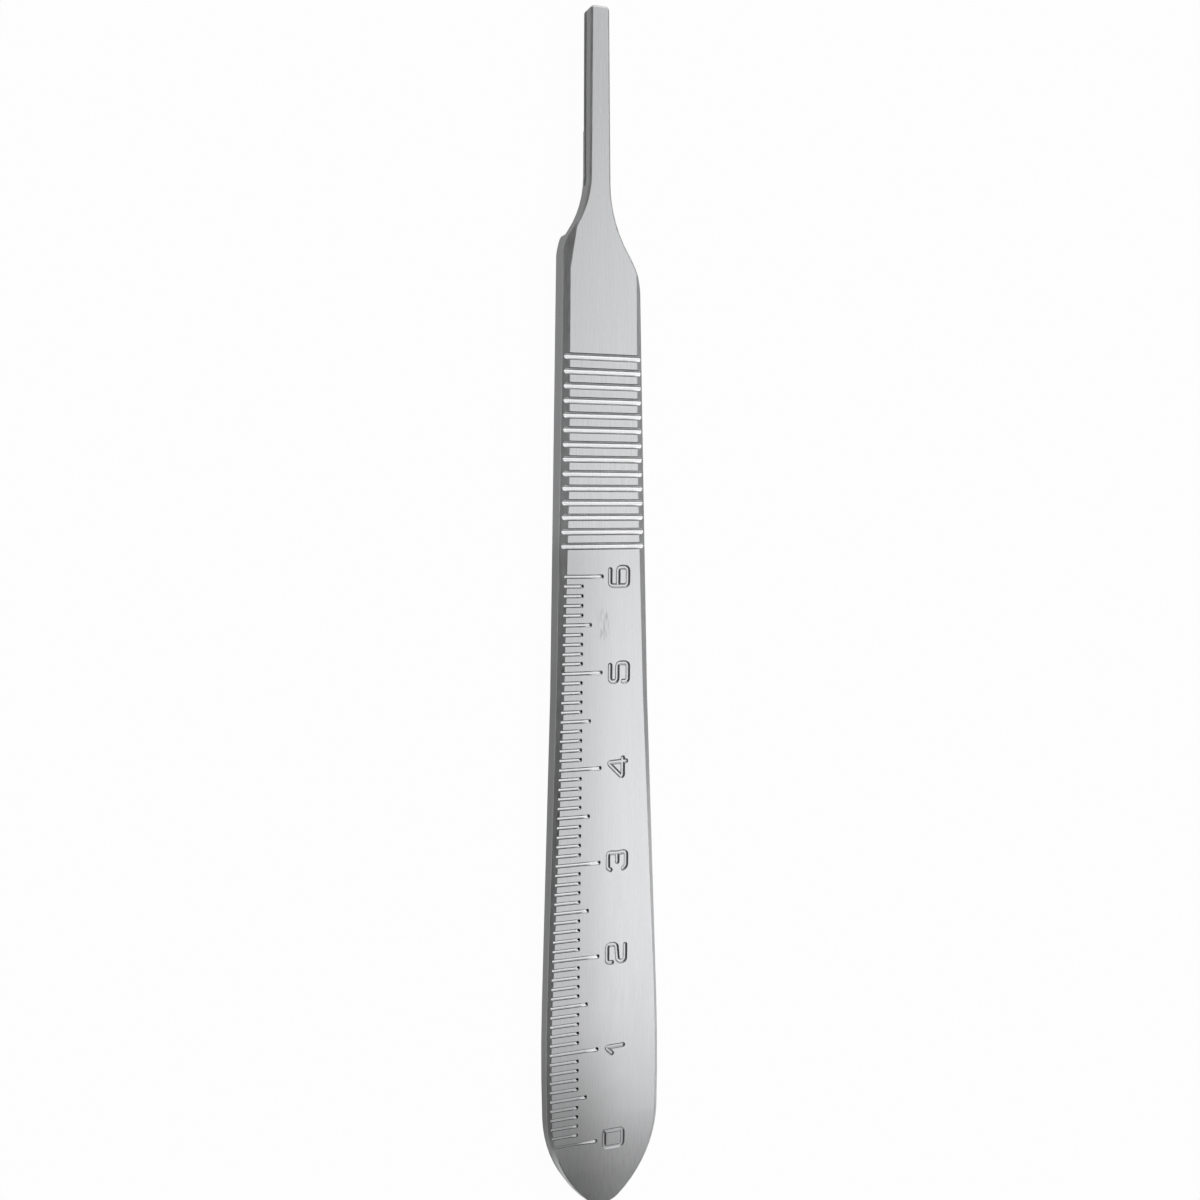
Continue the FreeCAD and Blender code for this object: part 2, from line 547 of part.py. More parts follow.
def slot_pair(name, high, high_formula, low, low_formula, long_formula, long_size):
    sketch = new_sketch(name + "_line", "XZ_Plane")
    sketch.AttachmentOffset = Placement(Vector(0, 0, -top), Rotation())
    sketch.setExpression(".AttachmentOffset.Base.z", "-sizes.length / 2")
    core = value["fitting_neck_half"] - value["slot_depth"]
    wide = 1.6
    for sign, near in ((-1, mid - core), (1, mid + core)):
        far = near + sign * wide
        box = [line(sketch, (near, low), (far, low)), line(sketch, (far, low), (far, high)),
               line(sketch, (far, high), (near, high)), line(sketch, (near, high), (near, low))]
        for one, two in zip(box, box[1:] + box[:1]):
            join(sketch, one, 2, two, 1)
        for one in (box[0], box[2]):
            sketch.addConstraint(Sketcher.Constraint("Horizontal", one))
        for one in (box[1], box[3]):
            sketch.addConstraint(Sketcher.Constraint("Vertical", one))
        tie(sketch, "DistanceY", (-1, 1, box[0], 1), low, low_formula)
        tie(sketch, "DistanceY", (-1, 1, box[2], 1), high, high_formula)
        if sign < 0:
            tie_x(sketch, box[0], 1, near,
                  "sizes.fitting_middle + sizes.fitting_neck_half - sizes.slot_depth")
            sketch.addConstraint(Sketcher.Constraint("DistanceX", box[0], 2, box[0], 1, wide))
        else:
            tie_x(sketch, box[0], 1, near,
                  "-sizes.fitting_middle + sizes.fitting_neck_half - sizes.slot_depth")
            sketch.addConstraint(Sketcher.Constraint("DistanceX", box[0], 1, box[0], 2, wide))
    doc.recompute()
    pocket = body.newObject("PartDesign::Pocket", name)
    pocket.Profile = sketch
    pocket.AllowMultiFace = True
    pocket.Reversed = True
    pocket.Length = long_size
    pocket.setExpression("Length", long_formula)
    sketch.Visibility = False
    return pocket


slot_low = value["slot_top"] - value["slot_height"]
slots = slot_pair("slots", value["slot_top"], "sizes.slot_top", slot_low,
                  "sizes.slot_top - sizes.slot_height", "sizes.slot_length",
                  value["slot_length"])
volume = check(slots, volume)
nose_slots = slot_pair("nose_slots", slot_low, "sizes.slot_top - sizes.slot_height",
                       slot_low - value["slot_nose_extra"],
                       "sizes.slot_top - sizes.slot_height - sizes.slot_nose_extra",
                       "sizes.nose_length", value["nose_length"])
volume = check(nose_slots, volume)

# 7 Grip grooves across the front and the back


def along_face(sketch):
    # sketch axis along the front face
    sketch.AttachmentOffset = Placement(Vector(0, value["thick_mid"], 0),
                                        Rotation(Vector(0, 0, 1), value["taper_angle"]))
    sketch.setExpression(".AttachmentOffset.Base.y", "sizes.thick_mid")
    sketch.setExpression(".AttachmentOffset.Rotation.Angle", "sizes.taper_angle")


def groove_row(name, front):
    sketch = new_sketch(name + "_line", "YZ_Plane")
    rise = value["groove_round"] - value["groove_depth"]
    if front:
        along_face(sketch)
    height = rise if front else -rise
    first = zero + value["ruler_long"] + value["groove_gap"]
    circle = sketch.addGeometry(
        Part.Circle(Vector(first, height, 0), Vector(0, 0, 1), value["groove_round"]), False)
    tie(sketch, "Radius", (circle,), value["groove_round"], "sizes.groove_round")
    tie_x(sketch, circle, 3, first, ZERO + " + sizes.ruler_long + sizes.groove_gap")
    if front:
        tie(sketch, "DistanceY", (-1, 1, circle, 3), rise,
            "sizes.groove_round - sizes.groove_depth")
    else:
        tie(sketch, "DistanceY", (circle, 3, -1, 1), rise,
            "sizes.groove_round - sizes.groove_depth")
    doc.recompute()
    one = through_pocket(name + "_groove", sketch, middle=True)
    size = check(one, volume)
    row = body.newObject("PartDesign::LinearPattern", name + "_grooves")
    row.Originals = [one]
    row.Direction = (sketch, ["H_Axis"])
    row.Mode = "Spacing"
    row.Occurrences = int(value["groove_count"])
    row.setExpression("Occurrences", "sizes.groove_count")
    row.Offset = value["groove_pitch"]
    row.setExpression("Offset", "sizes.groove_pitch")
    return check(row, size)


volume = groove_row("front", True)
volume = groove_row("back", False)

# 8 Ruler marks: shallow, with sloping walls, cut in from the left edge
slope = math.radians(value["mark_slope"])
MARK_CLEAR = 0.1


def mark_row(name, first_mark, end_name, every, count, count_formula):
    """A row of equal marks, one every so many steps."""
    global volume
    half = value["ruler_long"] / 2
    step = value["mark_step"]
    offset = first_mark * step - half
    turn = math.radians(value["ruler_turn"])
    end = value[end_name]
    x = offset * math.sin(turn) - end * math.cos(turn)
    y = zero + half + offset * math.cos(turn) + end * math.sin(turn)
    offset_formula = "(%d * sizes.mark_step - sizes.ruler_long / 2)" % first_mark
    x_formula = "(%s * sin(sizes.ruler_turn) - sizes.%s * cos(sizes.ruler_turn))" % (
        offset_formula, end_name)
    y_formula = "(%s + sizes.ruler_long / 2 + %s * cos(sizes.ruler_turn)" \
        " + sizes.%s * sin(sizes.ruler_turn))" % (ZERO, offset_formula, end_name)
    # section of the mark, in a plane that leans as the walls do and closes its right end
    sketch = new_sketch(name + "_line", "YZ_Plane")
    sketch.AttachmentOffset = Placement(
        Vector(y, face_height(y), x),
        Rotation(value["taper_angle"], -value["ruler_turn"], value["mark_slope"]))
    sketch.setExpression(".AttachmentOffset.Base.x", y_formula)
    sketch.setExpression(".AttachmentOffset.Base.y",
                         "sizes.thick_mid + " + y_formula + " * tan(sizes.taper_angle)")
    sketch.setExpression(".AttachmentOffset.Base.z", x_formula)
    sketch.setExpression(".AttachmentOffset.Rotation.Yaw", "sizes.taper_angle")
    sketch.setExpression(".AttachmentOffset.Rotation.Pitch", "-sizes.ruler_turn")
    sketch.setExpression(".AttachmentOffset.Rotation.Roll", "sizes.mark_slope")
    floor = value["mark_width"] / 2 - value["mark_depth"] * math.tan(slope)
    mouth = value["mark_width"] / 2 + MARK_CLEAR * math.tan(slope)
    low, high = value["mark_depth"] / math.cos(slope), MARK_CLEAR / math.cos(slope)
    ring = [line(sketch, (-floor, -low), (floor, -low)), line(sketch, (floor, -low), (mouth, high)),
            line(sketch, (mouth, high), (-mouth, high)), line(sketch, (-mouth, high), (-floor, -low))]
    for one, two in zip(ring, ring[1:] + ring[:1]):
        join(sketch, one, 2, two, 1)
    for one in (ring[0], ring[2]):
        sketch.addConstraint(Sketcher.Constraint("Horizontal", one))
    floor_formula = "sizes.mark_width / 2 - sizes.mark_depth * tan(sizes.mark_slope)"
    mouth_formula = "sizes.mark_width / 2 + %g * tan(sizes.mark_slope)" % MARK_CLEAR
    tie(sketch, "DistanceX", (ring[0], 1, -1, 1), floor, floor_formula)
    tie(sketch, "DistanceX", (-1, 1, ring[0], 2), floor, floor_formula)
    tie(sketch, "DistanceX", (ring[2], 2, -1, 1), mouth, mouth_formula)
    tie(sketch, "DistanceX", (-1, 1, ring[2], 1), mouth, mouth_formula)
    tie(sketch, "DistanceY", (ring[0], 1, -1, 1), low, "sizes.mark_depth / cos(sizes.mark_slope)")
    tie(sketch, "DistanceY", (-1, 1, ring[2], 1), high, "%g / cos(sizes.mark_slope)" % MARK_CLEAR)
    doc.recompute()
    one = body.newObject("PartDesign::Pocket", name)
    one.Profile = sketch
    one.UseCustomVector = True
    one.Direction = Vector(-math.cos(turn), math.sin(turn), math.sin(turn) * math.tan(tilt))
    one.setExpression("Direction.x", "-cos(sizes.ruler_turn)")
    one.setExpression("Direction.y", "sin(sizes.ruler_turn)")
    one.setExpression("Direction.z", "sin(sizes.ruler_turn) * tan(sizes.taper_angle)")
    one.AlongSketchNormal = False
    one.Length = value["widest_half"] + 1.0
    one.setExpression("Length", "sizes.widest_half + 1")
    sketch.Visibility = False
    volume = check(one, volume)
    row = body.newObject("PartDesign::LinearPattern", name + "_row")
    row.Originals = [one]
    row.Direction = (sketch, ["H_Axis"])
    row.Mode = "Spacing"
    row.Occurrences = count
    row.setExpression("Occurrences", count_formula)
    row.Offset = every * step
    row.setExpression("Offset", "%d * sizes.mark_step" % every)
    volume = check(row, volume)


steps = value["ruler_long"] / value["mark_step"] + 0.001
mark_row("long_marks", 0, "long_end", 10, math.floor(steps / 10) + 1,
         "floor((sizes.ruler_long / sizes.mark_step + 0.001) / 10) + 1")
mark_row("middle_marks", 5, "middle_end", 10, math.floor(steps / 10 + 0.5),
         "floor((sizes.ruler_long / sizes.mark_step + 0.001) / 10 + 0.5)")
for number in range(1, 5):
    mark_row("short_marks_%d" % number, number, "short_end", 5, math.floor(steps / 5),
             "floor((sizes.ruler_long / sizes.mark_step + 0.001) / 5)")

doc.recompute()
for thing in doc.Objects:
    if "Invalid" in thing.State or "Error" in thing.State:
        raise RuntimeError(thing.Name + " " + str(thing.State))
solid = body.Shape
box = solid.BoundBox
print("solids", len(solid.Solids), "valid", solid.isValid(), "volume mm3", round(solid.Volume, 2))
print("box", [round(v, 3) for v in (box.XMin, box.YMin, box.ZMin, box.XMax, box.YMax, box.ZMax)])
if len(solid.Solids) != 1 or not solid.isValid():
    raise RuntimeError("the handle must be one valid solid")
Part.export([body], "parts/handle.step")
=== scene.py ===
import math

import bmesh
import bpy
from mathutils import Matrix, Vector


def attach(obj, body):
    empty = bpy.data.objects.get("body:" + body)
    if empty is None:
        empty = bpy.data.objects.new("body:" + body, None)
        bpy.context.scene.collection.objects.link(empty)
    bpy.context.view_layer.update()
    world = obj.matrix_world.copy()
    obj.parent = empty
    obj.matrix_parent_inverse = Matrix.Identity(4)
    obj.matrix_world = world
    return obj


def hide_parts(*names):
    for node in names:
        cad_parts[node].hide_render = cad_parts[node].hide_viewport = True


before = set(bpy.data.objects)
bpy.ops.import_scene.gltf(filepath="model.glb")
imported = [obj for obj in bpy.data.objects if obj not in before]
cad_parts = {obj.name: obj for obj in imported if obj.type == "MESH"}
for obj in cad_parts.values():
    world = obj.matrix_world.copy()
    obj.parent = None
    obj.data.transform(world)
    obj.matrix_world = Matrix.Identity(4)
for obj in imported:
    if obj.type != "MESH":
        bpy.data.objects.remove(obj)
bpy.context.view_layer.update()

scene = bpy.context.scene
scene.view_settings.view_transform = "Standard"

# sizes below are in mm and angles in degrees, in the part's own frame
MM = 0.001

# front face: height in the middle of the handle, rise towards the fitting, curve down at the tail
FACE_MID = 2.83
TAPER = 0.49
CROWN_AT = -50.15
CROWN_ROUND = 176.0
EDGE_ROUND = 0.06

# stretch of the grip grooves along the handle
GRIP = (7.25, 28.05)

# ruler: its middle mark, its small turn on the face, and the stretch that it takes with its numerals
RULER_LONG = 60
RULER_MID = -25.15
RULER_TURN = math.radians(0.73)
RULER = (-56.0, 6.6)
MARK_SIDE = (-3.0, -0.15)
NUMERAL_SIDE = (-0.1, 3.4)
ACROSS = Vector((math.cos(RULER_TURN), -math.sin(RULER_TURN), 0))
ALONG = Vector((math.sin(RULER_TURN), math.cos(RULER_TURN), 0))

# numerals, as strokes: (across, along) from each centimetre mark
NUMERALS = {
    0: [[(0.39, 0.75), (0.39, -0.94), (2.52, -0.94), (2.52, 0.88), (0.39, 0.88), (0.39, 0.7)]],
    1: [[(2.55, 0.1), (0.39, 0.05), (1.24, -0.74)]],
    2: [[(1.16, -0.82), (0.47, -0.82), (0.47, 1.12), (1.5, 1.12), (1.7, -0.8), (2.52, -0.8), (2.52, 1.1)]],
    3: [[(0.85, -0.95), (0.44, -0.7), (0.44, 0.98), (1.5, 0.86), (2.5, 1.0), (2.5, -0.6), (2.05, -0.92)],
        [(1.5, 0.86), (1.5, -0.2)]],
    4: [[(2.5, 0.62), (0.3, 0.52), (2.0, -1.15), (2.0, 1.1)]],
    5: [[(0.43, 0.9), (0.43, -0.97), (1.25, -0.97), (1.25, 0.97), (2.44, 0.97), (2.44, -0.96), (1.75, -0.96)]],
    6: [[(0.32, 0.86), (0.32, -0.96), (2.33, -0.96), (2.33, 0.96), (1.22, 0.96), (1.22, -0.9)]],
}
STROKE_ROUND = 0.28
STROKE_DEPTH = 0.2
CORNER_ROUND = 0.4
# rounded end of a cutter: distance past its last point, share of its radius
ROUND_END = ((-0.14, 1.0), (-0.04, 0.93), (0.05, 0.72), (0.1, 0.4))

# ruler marks: place of the right end, length of the widened stretch, radius of the cutter there
MARK_ENDS = {"long": (-0.45, 2.8, 0.26), "middle": (-1.7, 1.7, 0.25), "short": (-2.66, 1.2, 0.235)}
MARK_START = 0.15
MARK_RISE = 0.055
# pit at a mark's right end: radius, depth, place before the end and above the mark's middle
PIT_ROUND = 0.13
PIT_DEPTH = 0.4
PIT_BACK = 0.1
PIT_UP = 0.03
PIT_SIDES = 10
FIRST_PIT = 3


def on_face(u, s, rise=0.0):
    """Point u mm right of the ruler's middle line and s mm along it, rise mm above the face.

    At the tail the cuts follow the curve of the face only in part, so they get shallower."""
    p = Vector((0, RULER_MID, 0)) + ACROSS * u + ALONG * s
    drop = max(0.0, CROWN_AT - p.y) ** 2 / (2 * CROWN_ROUND)
    p.z = FACE_MID + p.y * math.tan(math.radians(TAPER)) + rise - 0.6 * drop
    return p * MM


def new_object(name, mesh):
    obj = bpy.data.objects.new(name, mesh)
    scene.collection.objects.link(obj)
    return obj


# cutters for the engraving
def rounded(points):
    """The same path with its corners cut by short curves."""
    out = [Vector(points[0])]
    for a, b, c in zip(points, points[1:], points[2:]):
        a, b, c = Vector(a), Vector(b), Vector(c)
        r = min(CORNER_ROUND, (a - b).length * 0.45, (c - b).length * 0.45)
        p, q = b + (a - b).normalized() * r, b + (c - b).normalized() * r
        for k in range(5):
            t = k / 4
            out.append(p * (1 - t) ** 2 + b * 2 * t * (1 - t) + q * t * t)
    out.append(Vector(points[-1]))
    return out


def tube(name, points):
    """Mesh of a round cutter along (across, along, rise, radius) points."""
    curve = bpy.data.curves.new(name, "CURVE")
    curve.dimensions = "3D"
    curve.bevel_depth = MM
    curve.bevel_resolution = 3
    curve.use_fill_caps = True
    spline = curve.splines.new("POLY")
    spline.points.add(len(points) - 1)
    for slot, (u, s, rise, radius) in zip(spline.points, points):
        slot.co = (*on_face(u, s, rise), 1.0)
        slot.radius = radius
    obj = new_object(name, curve)
    bpy.context.view_layer.update()
    mesh = bpy.data.meshes.new_from_object(obj.evaluated_get(bpy.context.evaluated_depsgraph_get()))
    bpy.data.objects.remove(obj)
    return mesh


def stroke(name, mark, points):
    """Cutter for one stroke of a numeral."""
    path = rounded(points)
    ends = []
    for tip, inner in ((path[0], path[1]), (path[-1], path[-2])):
        way = (tip - inner).normalized()
        ends.append([(tip + way * far, share) for far, share in ROUND_END])
    body = [(p, 1.0) for p in path[1:-1]]
    return tube(name, [(p.x, mark - RULER_LONG / 2 + p.y, STROKE_ROUND - STROKE_DEPTH, STROKE_ROUND * share)
                       for p, share in ends[0][::-1] + body + ends[1]])


def mark_end(name, mark, kind):
    """Cutter that widens and deepens a ruler mark towards its right end."""
    end, back, radius = MARK_ENDS[kind]
    s = mark - RULER_LONG / 2
    points = [(end - back, s, MARK_RISE, MARK_START),
              (end - back * 0.5, s, MARK_RISE, (radius + MARK_START) / 2)]
    points += [(end + far - 0.06, s, MARK_RISE, radius * share) for far, share in ROUND_END]
    return tube(name, points)


def pit(u, s, bm):
    """Small steep pit where the engraving tool went down."""
    rings = []
    for radius, rise in ((PIT_ROUND, 0.2), (PIT_ROUND, -0.1), (PIT_ROUND * 0.75, -PIT_DEPTH)):
        ring = []
        for k in range(PIT_SIDES):
            angle = 2 * math.pi * k / PIT_SIDES
            ring.append(bm.verts.new(on_face(u + radius * math.cos(angle), s + radius * math.sin(angle), rise)))
        rings.append(ring)
    bm.faces.new(rings[0])
    bm.faces.new(rings[-1][::-1])
    for low, high in zip(rings, rings[1:]):
        for k in range(PIT_SIDES):
            bm.faces.new((low[k], low[k - 1], high[k - 1], high[k]))


def engraving_cutter():
    """All strokes, mark ends and pits as one object."""
    bm = bmesh.new()
    parts = [stroke("stroke_%d_%d" % (number, index), number * 10, points)
             for number, strokes in NUMERALS.items() for index, points in enumerate(strokes)]
    for part in parts:
        bm.from_mesh(part)
        bpy.data.meshes.remove(part)
    for mark in range(RULER_LONG + 1):
        kind = "short" if mark % 5 else ("middle" if mark % 10 else "long")
        part = mark_end("mark_%d" % mark, mark, kind)
        bm.from_mesh(part)
        bpy.data.meshes.remove(part)
        if mark >= FIRST_PIT:
            pit(MARK_ENDS[kind][0] - PIT_BACK, mark - RULER_LONG / 2 + PIT_UP, bm)
    bmesh.ops.remove_doubles(bm, verts=bm.verts, dist=1e-7)
    bmesh.ops.recalc_face_normals(bm, faces=bm.faces)
    mesh = bpy.data.meshes.new("strokes")
    bm.to_mesh(mesh)
    bm.free()
    return new_object("strokes", mesh)


# the handle: a copy of the modelled part, with its long edges rounded and the engraving cut in
def long_edge(e):
    """Long outer edges of the front: face to bevel and bevel to side, clear of the ruler marks."""
    if len(e.link_faces) != 2 or e.calc_face_angle(0) < math.radians(22):
        return False
    low, high = sorted(f.normal.z for f in e.link_faces)
    mid = (e.verts[0].co + e.verts[1].co) / 2 / MM
    if mid.z < 1.5 or high < 0.5:
        return False
    if high > 0.985:
        return 0.5 < low < 0.95 and (mid.x > 1.0 or mid.y > 8.5 or mid.y < -56.8)
    return abs(low) < 0.1 and high < 0.95 and mid.y < 33.0


def round_long_edges(mesh):
    bm = bmesh.new()
    bm.from_mesh(mesh)
    bmesh.ops.remove_doubles(bm, verts=bm.verts, dist=1e-6)
    bmesh.ops.dissolve_limit(bm, angle_limit=math.radians(0.5), verts=bm.verts, edges=bm.edges)
    bm.normal_update()
    edges = [e for e in bm.edges if long_edge(e)]
    bmesh.ops.bevel(bm, geom=edges, offset=EDGE_ROUND * MM, offset_type="OFFSET", segments=3, profile=0.5,
                    affect="EDGES", clamp_overlap=False)
    bm.to_mesh(mesh)
    bm.free()


def engrave(obj):
    cutter = engraving_cutter()
    cut = obj.modifiers.new("numerals", "BOOLEAN")
    cut.operation = "DIFFERENCE"
    cut.solver = "EXACT"
    cut.use_self = True
    cut.object = cutter
    bpy.context.view_layer.update()
    graph = bpy.context.evaluated_depsgraph_get()
    mesh = bpy.data.meshes.new_from_object(obj.evaluated_get(graph))
    obj.modifiers.clear()
    obj.data = mesh
    bpy.data.objects.remove(cutter)


def face_normal(y):
    """Normal of the front face at y mm: level with its taper, then curved down at the tail."""
    fall = max(0.0, CROWN_AT - y)
    angle = math.radians(TAPER) + math.asin(min(0.2, fall / CROWN_ROUND))
    return Vector((0, -math.sin(angle), math.cos(angle)))


def soft_shading(obj, angle=24.0):
    """Corner normals: true ones on the front face, elsewhere the mean of the faces within the angle."""
    mesh = obj.data
    limit = math.cos(math.radians(angle))
    around = [[] for v in mesh.vertices]
    normals = [p.normal.copy() for p in mesh.polygons]
    for p in mesh.polygons:
        p.use_smooth = True
        for v in p.vertices:
            around[v].append(p.index)
    corner = [None] * len(mesh.loops)
    for p in mesh.polygons:
        own = normals[p.index]
        for index in p.loop_indices:
            co = mesh.vertices[mesh.loops[index].vertex_index].co / MM
            true = face_normal(co.y)
            if own.z > 0.9 and own.dot(true) > 0.998 and p.center.z / MM > 2.2:
                corner[index] = true
                continue
            total = Vector()
            for other in around[mesh.loops[index].vertex_index]:
                if normals[other].dot(own) > limit:
                    total += normals[other] * mesh.polygons[other].area
            corner[index] = total.normalized() if total.length > 0 else own
    mesh.normals_split_custom_set(corner)


def brushed_uv(obj):
    """u runs across the handle and v along it, so the tangent lies across the brushing."""
    layer = obj.data.uv_layers.new(name="brushing")
    for loop in obj.data.loops:
        co = obj.data.vertices[loop.vertex_index].co / MM
        layer.data[loop.index].uv = ((co.x + 0.7 * co.z) / 20, (co.y + 0.15 * co.z) / 20)


# materials
class Nodes:
    """Small helper that adds nodes to one tree."""

    def __init__(self, tree):
        self.tree = tree
        tree.nodes.clear()

    def add(self, kind, **values):
        node = self.tree.nodes.new(kind)
        for key, val in values.items():
            setattr(node, key, val)
        return node

    def put(self, socket, source):
        if isinstance(source, (int, float, tuple)):
            socket.default_value = source
        else:
            self.tree.links.new(source, socket)

    def math(self, operation, *sources):
        node = self.add("ShaderNodeMath", operation=operation)
        for socket, source in zip(node.inputs, sources):
            self.put(socket, source)
        return node.outputs[0]

    def times(self, first, *others):
        for other in others:
            first = self.math("MULTIPLY", first, other)
        return first

    def remap(self, source, low, high, a, b, smooth=False):
        """Value a where the source is at low and b where it is at high."""
        node = self.add("ShaderNodeMapRange")
        if smooth:
            node.interpolation_type = "SMOOTHSTEP"
        for key, val in (("Value", source), ("From Min", low), ("From Max", high),
                         ("To Min", a), ("To Max", b)):
            self.put(node.inputs[key], val)
        return node.outputs["Result"]

    def between(self, source, stretch):
        """1 where the source lies in the stretch, given in mm, with soft ends."""
        low, high = stretch
        half, soft = (high - low) / 2, 0.05
        off = self.math("ABSOLUTE", self.math("SUBTRACT", source, (low + high) / 2 * MM))
        return self.remap(off, (half - soft) * MM, (half + soft) * MM, 1.0, 0.0)

    def split(self, source):
        node = self.add("ShaderNodeSeparateXYZ")
        self.put(node.inputs[0], source)
        return node.outputs["X"], node.outputs["Y"], node.outputs["Z"]

    def noise(self, where, scale, detail, rough=0.5):
        m = self.add("ShaderNodeMapping")
        m.inputs["Scale"].default_value = scale
        n = self.add("ShaderNodeTexNoise")
        n.inputs["Scale"].default_value = 1.0
        n.inputs["Detail"].default_value = detail
        n.inputs["Roughness"].default_value = rough
        self.put(m.inputs["Vector"], where)
        self.put(n.inputs["Vector"], m.outputs[0])
        return n.outputs["Fac"]


def depth_below_face(g, y, z):
    """Depth below the front face, which curves down at the tail."""
    fall = g.math("MAXIMUM", g.math("SUBTRACT", CROWN_AT * MM, y), 0.0)
    curve = g.times(fall, fall, 1 / (2 * CROWN_ROUND * MM))
    level = g.math("ADD", g.math("MULTIPLY", y, math.tan(math.radians(TAPER))), FACE_MID * MM)
    return g.math("SUBTRACT", g.math("SUBTRACT", level, curve), z)


def grip_masks(g, y, z, deep, slope_x, slope_z):
    """Grip grooves, front and back: their middle, painted brighter as a painted highlight, and their steep
    rims, painted dark as painted shade.
    """
    below = g.remap(g.math("MINIMUM", deep, z), 0.005 * MM, 0.015 * MM, 0.0, 1.0)
    grip = g.times(g.between(y, GRIP), g.remap(slope_x, 0.15, 0.3, 1.0, 0.0), below)
    rim_shade = g.times(grip, g.remap(slope_z, 0.74, 0.5, 0.0, 1.0))
    return g.math("SUBTRACT", grip, rim_shade), rim_shade


def ruler_masks(g, x, y, deep, slope_x, slope_z):
    """Engraving: floor of the marks, painted brighter as a painted highlight, and steep walls of numerals, pits
    and marks, painted dark as painted shade.
    """
    below = g.remap(deep, 0.004 * MM, 0.012 * MM, 0.0, 1.0)
    ruler = g.times(g.between(y, RULER), below)
    turned = g.math("MULTIPLY", g.math("SUBTRACT", y, RULER_MID * MM), math.tan(RULER_TURN))
    u = g.math("SUBTRACT", x, turned)
    steep = g.math("ADD", g.times(g.between(u, MARK_SIDE), g.remap(slope_z, 0.72, 0.55, 0.0, 1.0)),
                   g.times(g.between(u, NUMERAL_SIDE), g.remap(slope_z, 0.9, 0.72, 0.0, 1.0)))
    mark = g.times(g.remap(u, -0.2 * MM, -0.1 * MM, 1.0, 0.0), g.remap(slope_x, 0.35, 0.5, 1.0, 0.0))
    high_wall = g.times(mark, g.remap(deep, 0.065 * MM, 0.095 * MM, 1.0, 0.0),
                        g.remap(slope_z, 0.96, 0.9, 0.0, 1.0))
    wall_shade = g.times(ruler, g.math("MAXIMUM", steep, high_wall))
    floor = g.times(ruler, mark, g.remap(deep, 0.075 * MM, 0.105 * MM, 0.0, 1.0),
                    g.math("SUBTRACT", 1.0, steep))
    return floor, wall_shade


def painted_shade_share(g, x, y):
    """Painted shade: the engraved side of the ruler is painted a little darker, at both of its ends more than
    between them.
    """
    by_marks = g.times(g.remap(x, 2.8 * MM, -4.5 * MM, 0.0, 1.0, True),
                       g.remap(y, 6.0 * MM, 11.0 * MM, 0.24, 0.06, True))
    by_tail = g.times(g.remap(x, 5.5 * MM, -3.5 * MM, 0.0, 1.0, True),
                      g.remap(y, -40.0 * MM, -53.0 * MM, 0.0, 0.22, True))
    return g.math("ADD", by_marks, by_tail)


def scratch_mask(g, point, up):
    """Oval patch of faint scratches beside the ruler's 55 mm mark."""
    middle, size = (-0.1, -0.15), (0.9, 1.9)
    near = g.add("ShaderNodeMapping")
    near.inputs["Location"].default_value = (-middle[0] / size[0], -middle[1] / size[1], 0.0)
    near.inputs["Scale"].default_value = (1 / (size[0] * MM), 1 / (size[1] * MM), 0.0)
    g.put(near.inputs["Vector"], point)
    far = g.add("ShaderNodeVectorMath", operation="LENGTH")
    g.put(far.inputs[0], near.outputs[0])
    lines = g.noise(point, (14000.0, 750.0, 14000.0), 1.0)
    return g.times(g.remap(far.outputs["Value"], 0.6, 1.1, 1.0, 0.0, True),
                   g.remap(lines, 0.56, 0.64, 0.0, 1.0), g.remap(up, 0.9, 0.95, 0.0, 1.0))


